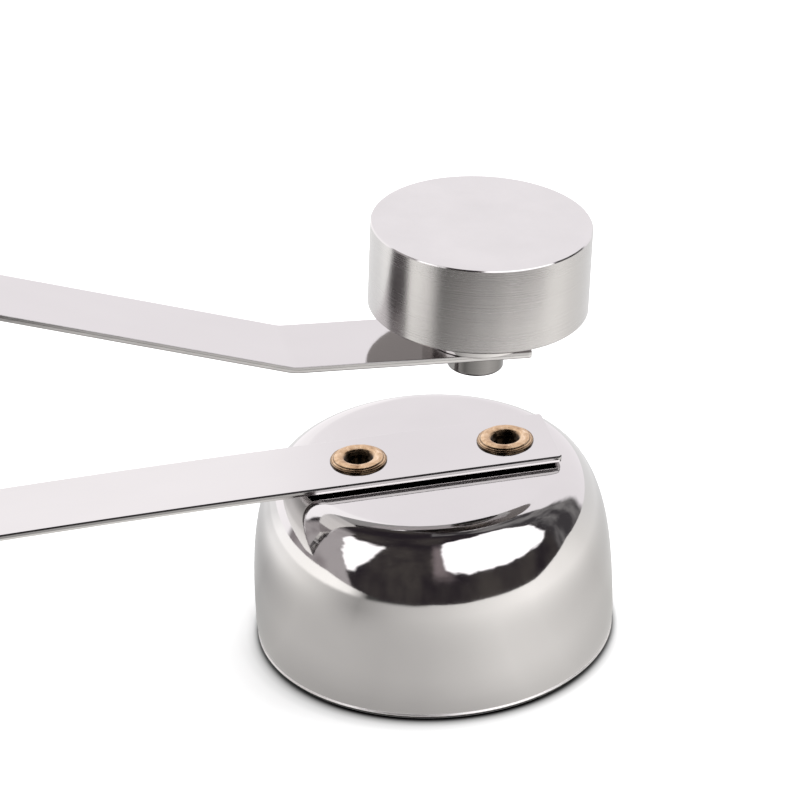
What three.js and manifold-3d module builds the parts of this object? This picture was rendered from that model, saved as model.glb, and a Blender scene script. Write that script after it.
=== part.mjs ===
// Spring-strip egg topper: a bell cup with a cutting rim, riveted under the lower arm of a
// U-bent spring strip, and a turned knocker weight on the upper arm that is pulled up and let
// go to strike the lower arm over the cup.
// Millimetres, +Z up. The strip runs along X, with the free tips towards +X and the bow
// (the hand grip) towards -X. The cup stands on its rim at Z = 0.
import * as THREE from 'three';
import { mergeVertices } from 'three/addons/utils/BufferGeometryUtils.js';
import Module from 'manifold-3d';

const wasm = await Module();
wasm.setup();

// ---------------------------------------------------------------- driving dimensions
const STRIP_W = 9.0;            // width of the spring strip
const STRIP_T = 0.70;           // thickness of the spring strip
const STRIP_CORNER_R = 0.4;     // plan radius on the two free tips
const STRIP_GAP = 0.02;         // assembly gap between stacked parts

const SEAT_GAP = 0.30;          // the strip stands this far clear of the cup's top

const CUP_H = 18.72;            // rim to flat top, outside
const CUP_RIM_R = 17.6;         // outside radius of the ground rim
const CUP_WALL_R = 17.85;       // largest outside radius of the wall
const CUP_WALL_Z = 1.9;         // height at which the wall is widest
const CUP_TOP_R = 12.5;         // radius of the flat top
const CUP_SHOULDER_A = 2.2;     // superellipse exponents of the shoulder: along the radius
const CUP_SHOULDER_B = 3.0;     // and along the height
const CUP_T = 0.70;             // sheet thickness
const CUP_SEGMENTS = 64;

const EYELET_X = [-7.0, 7.7];   // eyelet centres from the cup axis
const EYELET_HOLE_R = 1.75;     // hole in strip and cup
const EYELET_BARREL_R = 1.70;
const EYELET_BORE_R = 1.20;
const EYELET_FLANGE_R = 2.82;
const EYELET_FLANGE_H = 0.55;
const EYELET_CLINCH_R = 2.50;
const EYELET_CLINCH_H = 0.75;

const LOWER_TIP_X = 12.4;       // free tip of the lower arm
const DROOP_START_X = -14.0;    // the lower arm leaves the cup straight to here
const DROOP_END_X = -42.0;      // and is bent gently down to here
const DROOP_DEG = 1.3;

const BOW_R = 18.5;             // bow radius to the middle of the strip
const BOW_SPLIT_DEG = 10.6;     // slot in the bow that leaves room for the arm to close
const UPPER_PITCH_DEG = 19.3;   // slope of the upper arm, falling towards +X
const TIP_PITCH_DEG = 4.1;      // slope of the striker section
const TIP_BEND_R = 4.0;         // radius of the kink, middle of the strip
const TIP_LENGTH = 18.7;        // kink to weight axis
const TIP_OVERHANG = 4.55;      // weight axis to the free tip
const WEIGHT_AXIS_X = 5.15;     // where the weight axis meets the strip's top face
const WEIGHT_AXIS_Z = 31.95;

const WEIGHT_R = 10.65;
const WEIGHT_H = 8.7;
const WEIGHT_CHAMFER = 0.16;
const COLLAR_R = 5.2;
const COLLAR_H = 3.2;
const COLLAR_CHAMFER = 0.35;
const SCREW_HOLE_R = 2.05;
const SCREW_R = 1.95;
const SCREW_IN_WEIGHT = 5.0;    // length of shank inside the weight
const SCREW_HEAD_R = 2.75;
const SCREW_HEAD_H = 2.60;

// ---------------------------------------------------------------- helpers
const rad = THREE.MathUtils.degToRad;

function solid(geometry) {
  const g = geometry.clone();
  g.deleteAttribute('normal');
  g.deleteAttribute('uv');
  const m = mergeVertices(g, 1e-4);
  let index = m.index.array;
  const p = m.attributes.position.array;
  // outward faces give a positive signed volume
  let volume = 0;
  for (let i = 0; i < index.length; i += 3) {
    const a = index[i] * 3, b = index[i + 1] * 3, c = index[i + 2] * 3;
    volume += p[a] * (p[b + 1] * p[c + 2] - p[b + 2] * p[c + 1])
      - p[a + 1] * (p[b] * p[c + 2] - p[b + 2] * p[c])
      + p[a + 2] * (p[b] * p[c + 1] - p[b + 1] * p[c]);
  }
  const tri = [];
  for (let i = 0; i < index.length; i += 3) {
    const a = index[i], b = index[i + 1], c = index[i + 2];
    if (a === b || b === c || a === c) continue;
    if (volume < 0) tri.push(a, c, b); else tri.push(a, b, c);
  }
  return new wasm.Manifold(new wasm.Mesh({
    numProp: 3, vertProperties: new Float32Array(p), triVerts: new Uint32Array(tri),
  }));
}

function toGeometry(manifold) {
  const m = manifold.getMesh();
  const g = new THREE.BufferGeometry();
  g.setAttribute('position', new THREE.BufferAttribute(new Float32Array(m.vertProperties), 3));
  g.setIndex(new THREE.BufferAttribute(new Uint32Array(m.triVerts), 1));
  g.computeVertexNormals();
  return g;
}

// solid of revolution about Z from [radius, z] pairs
function turned(points, segments) {
  const g = new THREE.LatheGeometry(points.map(([r, z]) => new THREE.Vector2(r, z)), segments);
  g.rotateX(Math.PI / 2);
  return solid(g);
}

// plate whose side outline [x, z] is given, symmetrical about Y = 0
function sideExtrusion(outline, width) {
  const g = new THREE.ExtrudeGeometry(new THREE.Shape(outline.map(([x, z]) => new THREE.Vector2(x, z))), {
    depth: width, bevelEnabled: false,
  });
  g.rotateX(Math.PI / 2);
  g.translate(0, width / 2, 0);
  return solid(g);
}

// strip with a given middle line [x, z] and thickness
function stripOutline(line, thickness) {
  const up = [], down = [];
  line.forEach(([x, z], i) => {
    const a = line[Math.max(i - 1, 0)], b = line[Math.min(i + 1, line.length - 1)];
    const dx = b[0] - a[0], dz = b[1] - a[1], n = Math.hypot(dx, dz);
    up.push([x - dz / n * thickness / 2, z + dx / n * thickness / 2]);
    down.push([x + dz / n * thickness / 2, z - dx / n * thickness / 2]);
  });
  return [...down, ...up.reverse()];
}

// vertical block with the plan of a strip that ends in two rounded corners at x = xEnd
function tipPlan(xStart, xEnd, width, corner, z0, z1) {
  const h = width / 2, s = new THREE.Shape();
  s.moveTo(xStart, -h);
  s.lineTo(xEnd - corner, -h);
  s.absarc(xEnd - corner, -h + corner, corner, -Math.PI / 2, 0, false);
  s.absarc(xEnd - corner, h - corner, corner, 0, Math.PI / 2, false);
  s.lineTo(xStart, h);
  s.closePath();
  const g = new THREE.ExtrudeGeometry(s, { depth: z1 - z0, bevelEnabled: false, curveSegments: 4 });
  g.translate(0, 0, z0);
  return solid(g);
}

function pinAt(x, y, z0, z1, r, segments = 32) {
  const g = new THREE.CylinderGeometry(r, r, z1 - z0, segments);
  g.rotateX(Math.PI / 2);
  g.translate(x, y, (z0 + z1) / 2);
  return solid(g);
}

function mesh(name, manifold, material) {
  const m = new THREE.Mesh(toGeometry(manifold), material);
  m.name = name;
  return m;
}

const steel = (roughness) => new THREE.MeshStandardMaterial({ color: 0xd2d0ce, metalness: 1.0, roughness });
const bronze = () => new THREE.MeshStandardMaterial({ color: 0xb98552, metalness: 1.0, roughness: 0.3 });

// ---------------------------------------------------------------- strip path
const stripZ = CUP_H + SEAT_GAP + STRIP_T / 2;       // middle of the lower arm over the cup
const droop = rad(DROOP_DEG);
const droopR = (DROOP_START_X - DROOP_END_X) / Math.sin(droop);
const droopEnd = [DROOP_END_X, stripZ - droopR * (1 - Math.cos(droop))];

const beta = rad(UPPER_PITCH_DEG);
const pitch = rad(TIP_PITCH_DEG);
// middle line of the striker section under the weight axis
const tipMid = [WEIGHT_AXIS_X - Math.sin(pitch) * STRIP_T / 2, WEIGHT_AXIS_Z - Math.cos(pitch) * STRIP_T / 2];
const kink = [tipMid[0] - Math.cos(pitch) * TIP_LENGTH, tipMid[1] + Math.sin(pitch) * TIP_LENGTH];

// bow centre: BOW_R above the lower arm's line and BOW_R below the upper arm's line
const nl = [-Math.sin(droop), Math.cos(droop)];
const nu = [Math.sin(beta), Math.cos(beta)];
const cl = nl[0] * droopEnd[0] + nl[1] * droopEnd[1] + BOW_R;
const cu = nu[0] * kink[0] + nu[1] * kink[1] - BOW_R;
const det = nl[0] * nu[1] - nl[1] * nu[0];
const bow = [(cl * nu[1] - nl[1] * cu) / det, (nl[0] * cu - cl * nu[0]) / det];

const bowPoint = (deg) => [bow[0] + BOW_R * Math.cos(rad(deg)), bow[1] + BOW_R * Math.sin(rad(deg))];
const lowerTangentDeg = -90 + DROOP_DEG;             // where the lower arm runs into the bow
const upperTangentDeg = -270 - UPPER_PITCH_DEG;      // where the bow runs into the upper arm
const midDeg = (lowerTangentDeg + upperTangentDeg) / 2;

const arc = (from, to, steps) => Array.from({ length: steps + 1 }, (_, i) => bowPoint(from + (to - from) * i / steps));

// the ends of neighbouring strip parts stay this far apart, as an angle on the bow
const seamDeg = THREE.MathUtils.radToDeg(0.03 / BOW_R);

const lowerLine = [[LOWER_TIP_X, stripZ], [DROOP_START_X, stripZ]];
for (let i = 1; i <= 5; i++) {
  const a = droop * i / 5;
  lowerLine.push([DROOP_START_X - droopR * Math.sin(a), stripZ - droopR * (1 - Math.cos(a))]);
}
lowerLine.push(bowPoint(lowerTangentDeg));

const kinkHalf = (beta - pitch) / 2;
const kinkTan = TIP_BEND_R * Math.tan(kinkHalf);
const kinkIn = [kink[0] - Math.cos(beta) * kinkTan, kink[1] + Math.sin(beta) * kinkTan];
// centre of the kink's arc, above the strip
const kinkC = [kinkIn[0] + Math.sin(beta) * TIP_BEND_R, kinkIn[1] + Math.cos(beta) * TIP_BEND_R];
const upperLine = [bowPoint(upperTangentDeg)];
for (let i = 0; i <= 4; i++) {
  const a = beta + (pitch - beta) * i / 4;
  upperLine.push([kinkC[0] - Math.sin(a) * TIP_BEND_R, kinkC[1] - Math.cos(a) * TIP_BEND_R]);
}
upperLine.push([tipMid[0] + Math.cos(pitch) * TIP_OVERHANG, tipMid[1] - Math.sin(pitch) * TIP_OVERHANG]);

// ---------------------------------------------------------------- cup
const outer = [];
const SHOULDER_STEPS = 14;
for (let i = 0; i <= SHOULDER_STEPS; i++) {
  const s = Math.PI / 2 * i / SHOULDER_STEPS;
  outer.push([
    CUP_TOP_R + (CUP_WALL_R - CUP_TOP_R) * Math.cos(s) ** (2 / CUP_SHOULDER_A),
    CUP_WALL_Z + (CUP_H - CUP_WALL_Z) * Math.sin(s) ** (2 / CUP_SHOULDER_B),
  ]);
}
// inside: the same curve moved inwards by the sheet thickness
const inner = outer.map(([r, z], i) => {
  const a = outer[Math.max(i - 1, 0)], b = outer[Math.min(i + 1, outer.length - 1)];
  let dr = b[0] - a[0], dz = b[1] - a[1];
  if (i === 0) { dr = 0; dz = 1; }
  if (i === outer.length - 1) { dr = -1; dz = 0; }
  const n = Math.hypot(dr, dz);
  return [r - dz / n * CUP_T, z + dr / n * CUP_T];
});
const cupProfile = [
  [0, CUP_H],
  ...outer.slice().reverse(),
  [CUP_WALL_R - 0.07, 0.8],
  [CUP_RIM_R, 0],
  [CUP_RIM_R - CUP_T, 0],
  ...inner,
  [0, CUP_H - CUP_T],
];
let cup = turned(cupProfile, CUP_SEGMENTS);
for (const x of EYELET_X) cup = cup.subtract(pinAt(x, 0, CUP_H - 3, CUP_H + 3, EYELET_HOLE_R));

// ---------------------------------------------------------------- strip parts
let lowerArm = sideExtrusion(stripOutline(lowerLine, STRIP_T), STRIP_W)
  .intersect(tipPlan(-200, LOWER_TIP_X, STRIP_W, STRIP_CORNER_R, 0, 60));
for (const x of EYELET_X) lowerArm = lowerArm.subtract(pinAt(x, 0, CUP_H - 3, CUP_H + 3, EYELET_HOLE_R));

const bowSteps = 14;
const lowerBow = sideExtrusion(stripOutline(
  arc(lowerTangentDeg - seamDeg, midDeg + BOW_SPLIT_DEG / 2, bowSteps), STRIP_T), STRIP_W);
const upperBow = sideExtrusion(stripOutline(
  arc(midDeg - BOW_SPLIT_DEG / 2, upperTangentDeg + seamDeg, bowSteps), STRIP_T), STRIP_W);

// the striker section's own frame: origin where the weight axis meets the strip's top face
const striker = new THREE.Group();
striker.position.set(WEIGHT_AXIS_X, 0, WEIGHT_AXIS_Z);
striker.rotation.set(0, pitch, 0);
striker.updateMatrixWorld(true);

const inStriker = (geometry) => { geometry.applyMatrix4(striker.matrixWorld); return geometry; };
const screwHoleG = new THREE.CylinderGeometry(SCREW_HOLE_R, SCREW_HOLE_R, 6, 32);
screwHoleG.rotateX(Math.PI / 2);
const tipEndX = WEIGHT_AXIS_X + Math.cos(pitch) * TIP_OVERHANG;
const upperArm = sideExtrusion(stripOutline(upperLine, STRIP_T), STRIP_W)
  .intersect(tipPlan(-200, tipEndX, STRIP_W, STRIP_CORNER_R, 0, 60))
  .subtract(solid(inStriker(screwHoleG)));

// ---------------------------------------------------------------- eyelets
const stack = STRIP_T + SEAT_GAP + CUP_T;            // strip and cup, through the eyelet
const f = STRIP_GAP;
const eyeletProfile = [
  [EYELET_BARREL_R, f], [EYELET_FLANGE_R - 0.06, f], [EYELET_FLANGE_R, f + 0.14],
  [EYELET_FLANGE_R - 0.14, EYELET_FLANGE_H - 0.10], [2.30, EYELET_FLANGE_H], [1.92, EYELET_FLANGE_H - 0.06],
  [1.62, EYELET_FLANGE_H - 0.28], [1.38, -0.10], [EYELET_BORE_R, -0.55],
  [EYELET_BORE_R, -stack + 0.1], [1.36, -stack - 0.45], [1.75, -stack - EYELET_CLINCH_H],
  [2.15, -stack - EYELET_CLINCH_H + 0.04], [EYELET_CLINCH_R, -stack - 0.38], [2.40, -stack - f],
  [EYELET_BARREL_R, -stack - f], [EYELET_BARREL_R, f],
];
const eyelets = EYELET_X.map((x) => {
  const g = new THREE.LatheGeometry(eyeletProfile.map(([r, z]) => new THREE.Vector2(r, z)), 32);
  g.rotateX(Math.PI / 2);
  g.translate(x, 0, CUP_H + SEAT_GAP + STRIP_T);
  return solid(g);
});

// ---------------------------------------------------------------- weight, collar and striker screw
const weightZ = COLLAR_H + 2 * STRIP_GAP;
const holeTop = weightZ + SCREW_IN_WEIGHT + 0.4;
const weight = turned([
  [SCREW_HOLE_R, weightZ], [WEIGHT_R - WEIGHT_CHAMFER, weightZ], [WEIGHT_R, weightZ + WEIGHT_CHAMFER],
  [WEIGHT_R, weightZ + WEIGHT_H - WEIGHT_CHAMFER], [WEIGHT_R - WEIGHT_CHAMFER, weightZ + WEIGHT_H],
  [0, weightZ + WEIGHT_H], [0, holeTop + 0.6], [SCREW_HOLE_R, holeTop], [SCREW_HOLE_R, weightZ],
], 64);
const c = COLLAR_CHAMFER;
const collar = turned([
  [SCREW_HOLE_R, f], [COLLAR_R - 0.08, f], [COLLAR_R, f + 0.08], [COLLAR_R, COLLAR_H - c],
  [COLLAR_R - c, COLLAR_H], [SCREW_HOLE_R, COLLAR_H], [SCREW_HOLE_R, f],
], 48);
const headTop = -STRIP_T - f;
const screw = turned([
  [0, weightZ + SCREW_IN_WEIGHT], [SCREW_R - 0.4, weightZ + SCREW_IN_WEIGHT], [SCREW_R, weightZ + SCREW_IN_WEIGHT - 0.4],
  [SCREW_R, headTop], [SCREW_HEAD_R - 0.08, headTop], [SCREW_HEAD_R, headTop - 0.15],
  [SCREW_HEAD_R, headTop - SCREW_HEAD_H + 0.45], [SCREW_HEAD_R - 0.12, headTop - SCREW_HEAD_H + 0.20],
  [SCREW_HEAD_R - 0.40, headTop - SCREW_HEAD_H + 0.06], [SCREW_HEAD_R - 1.0, headTop - SCREW_HEAD_H], [0, headTop - SCREW_HEAD_H - 0.02],
], 40);

// ---------------------------------------------------------------- assembly
// The origin is under the middle of the whole object's box, on the plane of the rim.
const xMin = bow[0] - BOW_R - STRIP_T / 2;
const xMax = CUP_WALL_R;
const group = new THREE.Group();
group.position.x = -(xMin + xMax) / 2;

group.add(mesh('cup', cup, steel(0.16)));
group.add(mesh('lower_arm', lowerArm, steel(0.08)));
group.add(mesh('lower_bow', lowerBow, steel(0.08)));
group.add(mesh('upper_bow', upperBow, steel(0.08)));
group.add(mesh('upper_arm', upperArm, steel(0.08)));
group.add(mesh('rear_eyelet', eyelets[0], bronze()));
group.add(mesh('front_eyelet', eyelets[1], bronze()));
striker.add(mesh('knocker_weight', weight, steel(0.30)));
striker.add(mesh('spacer_collar', collar, steel(0.22)));
striker.add(mesh('striker_screw', screw, steel(0.25)));
group.add(striker);

const part = new THREE.Group();
part.add(group);
export default part;
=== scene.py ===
# Egg topper with a spring striker: looks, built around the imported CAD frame.
import math

import bmesh
import bpy
import numpy as np
from mathutils import Matrix, Vector

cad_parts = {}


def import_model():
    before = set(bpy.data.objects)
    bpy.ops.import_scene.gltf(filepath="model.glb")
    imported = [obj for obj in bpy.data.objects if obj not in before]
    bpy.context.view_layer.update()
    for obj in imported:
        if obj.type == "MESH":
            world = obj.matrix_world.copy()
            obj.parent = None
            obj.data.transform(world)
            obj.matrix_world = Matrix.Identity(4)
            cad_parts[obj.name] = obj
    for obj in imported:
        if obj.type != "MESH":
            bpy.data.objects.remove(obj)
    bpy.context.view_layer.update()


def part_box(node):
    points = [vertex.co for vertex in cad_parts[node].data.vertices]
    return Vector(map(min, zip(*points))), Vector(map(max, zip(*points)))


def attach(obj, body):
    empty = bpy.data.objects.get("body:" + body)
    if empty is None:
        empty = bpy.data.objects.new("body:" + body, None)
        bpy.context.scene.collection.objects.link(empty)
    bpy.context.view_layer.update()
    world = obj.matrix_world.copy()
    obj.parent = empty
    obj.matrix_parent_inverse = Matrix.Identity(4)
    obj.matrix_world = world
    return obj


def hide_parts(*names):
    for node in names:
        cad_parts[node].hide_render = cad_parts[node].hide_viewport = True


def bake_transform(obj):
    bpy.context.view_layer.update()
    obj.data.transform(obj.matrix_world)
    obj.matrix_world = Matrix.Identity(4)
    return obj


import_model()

MM = 0.001
lo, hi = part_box("cup")
AX = (lo.x + hi.x) / 2 / MM           # X of the cup's axis in the row frame, millimetres

# ------------------------------------------------------------------ dimensions, as the CAD has them (mm, X from the cup axis)
STRIP_W, STRIP_T, CORNER_R = 9.0, 0.70, 0.4
SEAT = 0.30                            # the strip stands this far clear of the cup's top
CUP_H, CUP_RIM_R, CUP_WALL_R, CUP_WALL_Z, CUP_TOP_R, CUP_A, CUP_B, CUP_T = 18.72, 17.6, 17.85, 1.9, 12.5, 2.2, 3.0, 0.70
EYELET_X = (-7.0, 7.7)
LOWER_TIP_X, DROOP0, DROOP1, DROOP_DEG = 12.4, -14.0, -42.0, 1.3
BOW_R, UPPER_DEG, TIP_DEG, TIP_BEND_R, TIP_LEN, TIP_OVER = 18.5, 19.3, 4.1, 4.0, 18.7, 4.55
WX, WZ = 5.15, 31.95
WEIGHT_R, WEIGHT_H, COLLAR_R, COLLAR_H = 10.65, 8.7, 5.2, 3.2
HEAD_R, HEAD_H = 2.75, 2.60
GAP = 0.02

scene = bpy.context.scene
rad = math.radians


# ------------------------------------------------------------------ mesh helpers
def new_object(name, verts, faces, matrix=None, smooth=True):
    me = bpy.data.meshes.new(name)
    me.from_pydata([tuple(v) for v in verts], [], faces)
    me.validate(clean_customdata=False)
    bm = bmesh.new()
    bm.from_mesh(me)
    bmesh.ops.recalc_face_normals(bm, faces=bm.faces)
    bm.to_mesh(me)
    bm.free()
    if smooth:
        me.polygons.foreach_set("use_smooth", [True] * len(me.polygons))
    ob = bpy.data.objects.new(name, me)
    scene.collection.objects.link(ob)
    if matrix is not None:
        ob.matrix_world = matrix
    return ob


def fillet(points, closed=False, steps=6, support=0.012):
    """points: (x, y, radius). Returns the polyline with every corner of radius > 0 rounded, and a point set just
    outside each arc, so that flat stretches shade flat."""
    n = len(points)
    out = []
    for i, (x, y, r) in enumerate(points):
        p = np.array([x, y], float)
        if r <= 0 or (not closed and i in (0, n - 1)):
            out.append(p)
            continue
        a = np.array(points[(i - 1) % n][:2], float) - p
        b = np.array(points[(i + 1) % n][:2], float) - p
        la, lb = np.linalg.norm(a), np.linalg.norm(b)
        a, b = a / la, b / lb
        ang = math.acos(max(-1, min(1, float(a @ b))))
        if ang > math.pi - 1e-3:
            out.append(p)
            continue
        t = r / math.tan(ang / 2)
        t = min(t, la * 0.49, lb * 0.49)
        rr = t * math.tan(ang / 2)
        bis = (a + b) / np.linalg.norm(a + b)
        c = p + bis * (rr / math.sin(ang / 2))
        p0, p1 = p + a * t, p + b * t
        v0, v1 = p0 - c, p1 - c
        th = math.acos(max(-1, min(1, float(v0 @ v1) / (rr * rr))))
        s = math.copysign(1, v0[0] * v1[1] - v0[1] * v1[0])
        k = min(support, t * 0.4, (la - t) * 0.3)
        out.append(p0 + a * k)
        for j in range(steps + 1):
            w = s * th * j / steps
            out.append(c + np.array([v0[0] * math.cos(w) - v0[1] * math.sin(w), v0[0] * math.sin(w) + v0[1] * math.cos(w)]))
        k = min(support, t * 0.4, (lb - t) * 0.3)
        out.append(p1 + b * k)
    return [tuple(q) for q in out]


def lathe(name, profile, segments, matrix, closed):
    """Solid of revolution about local Z. profile: (r, z) in mm; open profiles start and end on the axis."""
    verts, faces, rings = [], [], []
    for r, z in profile:
        if r < 1e-6:
            rings.append([len(verts)])
            verts.append((0, 0, z * MM))
        else:
            rings.append(list(range(len(verts), len(verts) + segments)))
            for k in range(segments):
                a = 2 * math.pi * k / segments
                verts.append((r * MM * math.cos(a), r * MM * math.sin(a), z * MM))
    pairs = list(zip(rings[:-1], rings[1:])) + ([(rings[-1], rings[0])] if closed else [])
    for A, B in pairs:
        for k in range(segments):
            m = (k + 1) % segments
            if len(A) == 1 and len(B) == 1:
                continue
            if len(A) == 1:
                faces.append((A[0], B[k], B[m]))
            elif len(B) == 1:
                faces.append((A[k], B[0], A[m]))
            else:
                faces.append((A[k], B[k], B[m], A[m]))
    return new_object(name, verts, faces, matrix)


def cut(ob, cutters, angle=35):
    """Boolean difference, applied, with edges over angle marked sharp."""
    for c in cutters:
        m = ob.modifiers.new("cut", "BOOLEAN")
        m.operation, m.solver, m.object = "DIFFERENCE", "EXACT", c
    apply_modifiers(ob)
    for c in cutters:
        bpy.data.objects.remove(c)
    ob.data.set_sharp_from_angle(angle=rad(angle))
    return ob


def apply_modifiers(ob):
    dg = bpy.context.evaluated_depsgraph_get()
    dg.update()
    me = bpy.data.meshes.new_from_object(ob.evaluated_get(dg), depsgraph=dg)
    ob.modifiers.clear()
    old = ob.data
    ob.data = me
    me.name = ob.name
    bpy.data.meshes.remove(old)


def cylinder(r, z0, z1, matrix, segments=96):
    return lathe("cutter", [(0, z0), (r, z0), (r, z1), (0, z1)], segments, matrix, False)


def at(x, y, z, pitch=0.0):
    return Matrix.Translation(Vector(((AX + x) * MM, y * MM, z * MM))) @ Matrix.Rotation(rad(pitch), 4, "Y")


# ------------------------------------------------------------------ material helpers
class Mat:
    def __init__(self, name):
        self.m = bpy.data.materials.new(name)
        self.m.use_nodes = True
        self.t = self.m.node_tree
        self.b = self.t.nodes["Principled BSDF"]
        self.b.inputs["Metallic"].default_value = 1.0
        self.coord = self.t.nodes.new("ShaderNodeTexCoord").outputs["Object"]

    def n(self, kind, **kw):
        node = self.t.nodes.new(kind)
        for k, v in kw.items():
            if k.startswith("i_"):
                node.inputs[k[2:].replace("_", " ")].default_value = v
            else:
                setattr(node, k, v)
        return node

    def link(self, a, b):
        self.t.links.new(a, b)

    def scaled(self, scale, rot=(0, 0, 0)):
        mp = self.n("ShaderNodeMapping")
        mp.inputs["Scale"].default_value = scale
        mp.inputs["Rotation"].default_value = rot
        self.link(self.coord, mp.inputs["Vector"])
        return mp.outputs["Vector"]

    def noise(self, vector, scale, detail=3.0, rough=0.55, dist=0.0):
        t = self.n("ShaderNodeTexNoise")
        t.inputs["Scale"].default_value = scale
        t.inputs["Detail"].default_value = detail
        t.inputs["Roughness"].default_value = rough
        t.inputs["Distortion"].default_value = dist
        self.link(vector, t.inputs["Vector"])
        return t.outputs["Fac"]

    def ramp(self, fac, stops):
        r = self.n("ShaderNodeValToRGB")
        el = r.color_ramp.elements
        while len(el) > 1:
            el.remove(el[-1])
        el[0].position, el[0].color = stops[0][0], self.rgba(stops[0][1])
        for p, c in stops[1:]:
            e = el.new(p)
            e.color = self.rgba(c)
        self.link(fac, r.inputs["Fac"])
        return r.outputs["Color"]

    @staticmethod
    def rgba(c):
        return (c, c, c, 1) if isinstance(c, (int, float)) else (*c, 1)

    def math(self, op, a, b=None, c=None, clamp=False):
        m = self.n("ShaderNodeMath", operation=op, use_clamp=clamp)
        for i, v in enumerate((a, b, c)):
            if v is None:
                continue
            if isinstance(v, (int, float)):
                m.inputs[i].default_value = v
            else:
                self.link(v, m.inputs[i])
        return m.outputs[0]

    def bump(self, height, strength, distance, normal=None):
        b = self.n("ShaderNodeBump")
        b.inputs["Strength"].default_value = strength
        b.inputs["Distance"].default_value = distance
        self.link(height, b.inputs["Height"])
        if normal is not None:
            self.link(normal, b.inputs["Normal"])
        return b.outputs["Normal"]

    def map(self, fac, lo, hi):
        r = self.n("ShaderNodeMapRange")
        r.inputs["To Min"].default_value = lo
        r.inputs["To Max"].default_value = hi
        self.link(fac, r.inputs["Value"])
        return r.outputs["Result"]


def radius_of(m):
    """(radius, z) in the object's own frame, metres."""
    s = m.n("ShaderNodeSeparateXYZ")
    m.link(m.coord, s.inputs[0])
    r = m.math("SQRT", m.math("ADD", m.math("MULTIPLY", s.outputs[0], s.outputs[0]), m.math("MULTIPLY", s.outputs[1], s.outputs[1])))
    return r, s.outputs[2]


TINT = (0.600, 0.585, 0.584)


def steel_strip():
    m = Mat("strip_polished_steel")
    grain = m.noise(m.scaled((18, 1500, 1500)), 1.0, 4, 0.6)          # fine rolling lines along the strip
    cloud = m.noise(m.scaled((40, 90, 90)), 1.0, 3, 0.5)
    col = m.ramp(cloud, [(0.3, tuple(c * 0.975 for c in TINT)), (0.7, tuple(c * 1.02 for c in TINT))])
    m.link(col, m.b.inputs["Base Color"])
    m.link(m.math("ADD", m.map(grain, 0.03, 0.09), m.map(cloud, 0.0, 0.03)), m.b.inputs["Roughness"])
    wave = m.noise(m.scaled((60, 120, 60)), 1.0, 2, 0.4)
    n1 = m.bump(wave, 0.04, 0.0004)
    m.link(m.bump(grain, 0.05, 0.00002, n1), m.b.inputs["Normal"])
    return m.m


def low_down(m):
    """0 on the lower arm, 1 from the lower part of the bow upwards; the edge materials use it to paint the two arms
    with different light and shade.
    """
    sp = m.n("ShaderNodeSeparateXYZ")
    m.link(m.coord, sp.inputs[0])
    return m.math("MULTIPLY_ADD", sp.outputs[2], 160.0, -3.5, clamp=True)


def steel_edge(name, low, high, rough):
    """Sheared edge of the strip: fine lines along it, duller than the rolled faces. Its colour is scaled by low on the
    lower arm and by high from the bow upwards: painted light and shade, one brightness for each arm.
    """
    m = Mat(name)
    shear = m.noise(m.scaled((60, 900, 2600)), 1.0, 4, 0.6)
    land = m.noise(m.scaled((420, 420, 420)), 1.0, 3, 0.6)
    a = m.ramp(shear, [(0.3, tuple(c * low * 0.88 for c in TINT)), (0.7, tuple(min(1, c * low * 1.06) for c in TINT))])
    b = m.ramp(shear, [(0.3, tuple(c * high * 0.88 for c in TINT)), (0.7, tuple(min(1, c * high * 1.06) for c in TINT))])
    mx = m.n("ShaderNodeMix", data_type="RGBA")
    m.link(low_down(m), mx.inputs[0])
    m.link(a, mx.inputs[6])
    m.link(b, mx.inputs[7])
    m.link(mx.outputs[2], m.b.inputs["Base Color"])
    m.link(m.math("ADD", m.map(shear, rough - 0.03, rough + 0.04), m.map(land, 0.0, 0.05)), m.b.inputs["Roughness"])
    m.link(m.bump(m.math("ADD", shear, land), 0.12, 0.00002), m.b.inputs["Normal"])
    return m.m


def steel_rollover():
    """The dark hairline at the rollover and the groove where the shear starts: painted shade and dark reflection, near
    black on the lower arm and a darker grey from the bow upwards.
    """
    m = Mat("strip_edge_hairline_painted_shade")
    fine = m.noise(m.scaled((300, 1400, 1400)), 1.0, 4, 0.7)
    a = m.ramp(fine, [(0.35, (0.012, 0.011, 0.012)), (0.62, (0.035, 0.033, 0.034)), (0.78, (0.25, 0.24, 0.24))])
    b = m.ramp(fine, [(0.3, tuple(c * 0.72 for c in TINT)), (0.7, tuple(c * 0.85 for c in TINT))])
    mx = m.n("ShaderNodeMix", data_type="RGBA")
    m.link(low_down(m), mx.inputs[0])
    m.link(a, mx.inputs[6])
    m.link(b, mx.inputs[7])
    m.link(mx.outputs[2], m.b.inputs["Base Color"])
    m.link(m.map(fine, 0.14, 0.32), m.b.inputs["Roughness"])
    m.link(m.bump(fine, 0.2, 0.00002), m.b.inputs["Normal"])
    return m.m


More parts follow.
